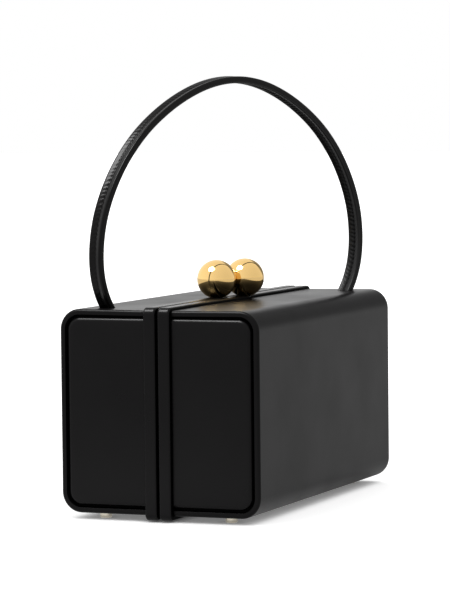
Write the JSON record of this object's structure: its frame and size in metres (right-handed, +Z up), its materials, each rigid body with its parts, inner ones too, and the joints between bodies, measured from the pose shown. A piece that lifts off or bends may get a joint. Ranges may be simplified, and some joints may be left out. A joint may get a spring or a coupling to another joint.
{
  "type": "box handbag",
  "caption": "Hard box handbag in smooth black leather, split lengthwise, with padded ends, frame rails, a gold ball clasp, stud feet and an arched strap handle.",
  "frame": {"origin": "on the surface that the bag stands on, under the middle of the bag", "axes": "+X along the bag's length, -Y towards its front half, +Z up"},
  "size_m": [0.208, 0.11, 0.2282],
  "materials": {
    "shell_leather": "smooth satin calf leather",
    "panel_leather": "smooth satin calf leather over padding",
    "rail_leather": "smooth satin calf leather, stretched tight",
    "strap_leather": "fine-grained calf leather, folded and stitched",
    "gold": "polished gold plating"
  },
  "bodies": {
    "root": {"back_shell": "shell_leather", "front_shell": "shell_leather", "back_left_panel": "panel_leather", "back_right_panel": "panel_leather", "front_left_panel": "panel_leather", "front_right_panel": "panel_leather", "back_rail": "rail_leather", "front_rail": "rail_leather", "handle": "strap_leather", "hinge_strip": "rail_leather", "left_ball": "gold", "right_ball": "gold", "back_left_foot": "gold", "back_right_foot": "gold", "front_left_foot": "gold", "front_right_foot": "gold"}
  },
  "joints": []
}
